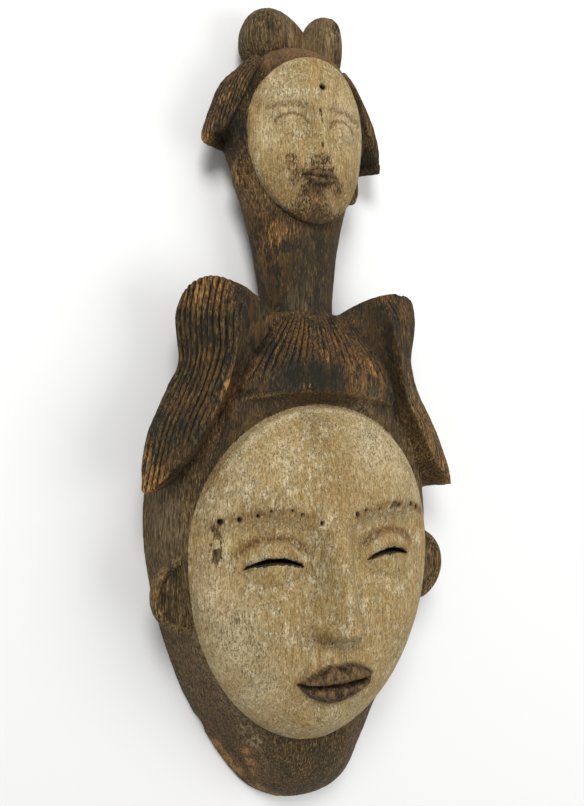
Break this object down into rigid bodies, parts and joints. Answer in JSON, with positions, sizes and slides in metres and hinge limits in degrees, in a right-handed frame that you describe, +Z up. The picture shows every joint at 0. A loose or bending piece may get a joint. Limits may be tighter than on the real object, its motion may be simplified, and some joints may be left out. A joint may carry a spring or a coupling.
{
  "type": "carved wooden mask",
  "caption": "Carved wooden face mask with winged coiffure, long neck and a small second head, hollow behind, with pierced eye slits, lying on its flat rim.",
  "frame": {"origin": "middle of the bounding box, on the plane of the flat rim that the mask lies on", "axes": "+Y from the chin end along the mask to the small head, +Z up out of the face, +X across the face"},
  "size_m": [0.206, 0.4954, 0.0962],
  "materials": {
    "wood": "dry, worn and dusty, with white clay on the faces"
  },
  "bodies": {
    "root": {"mask": "wood"}
  },
  "joints": []
}
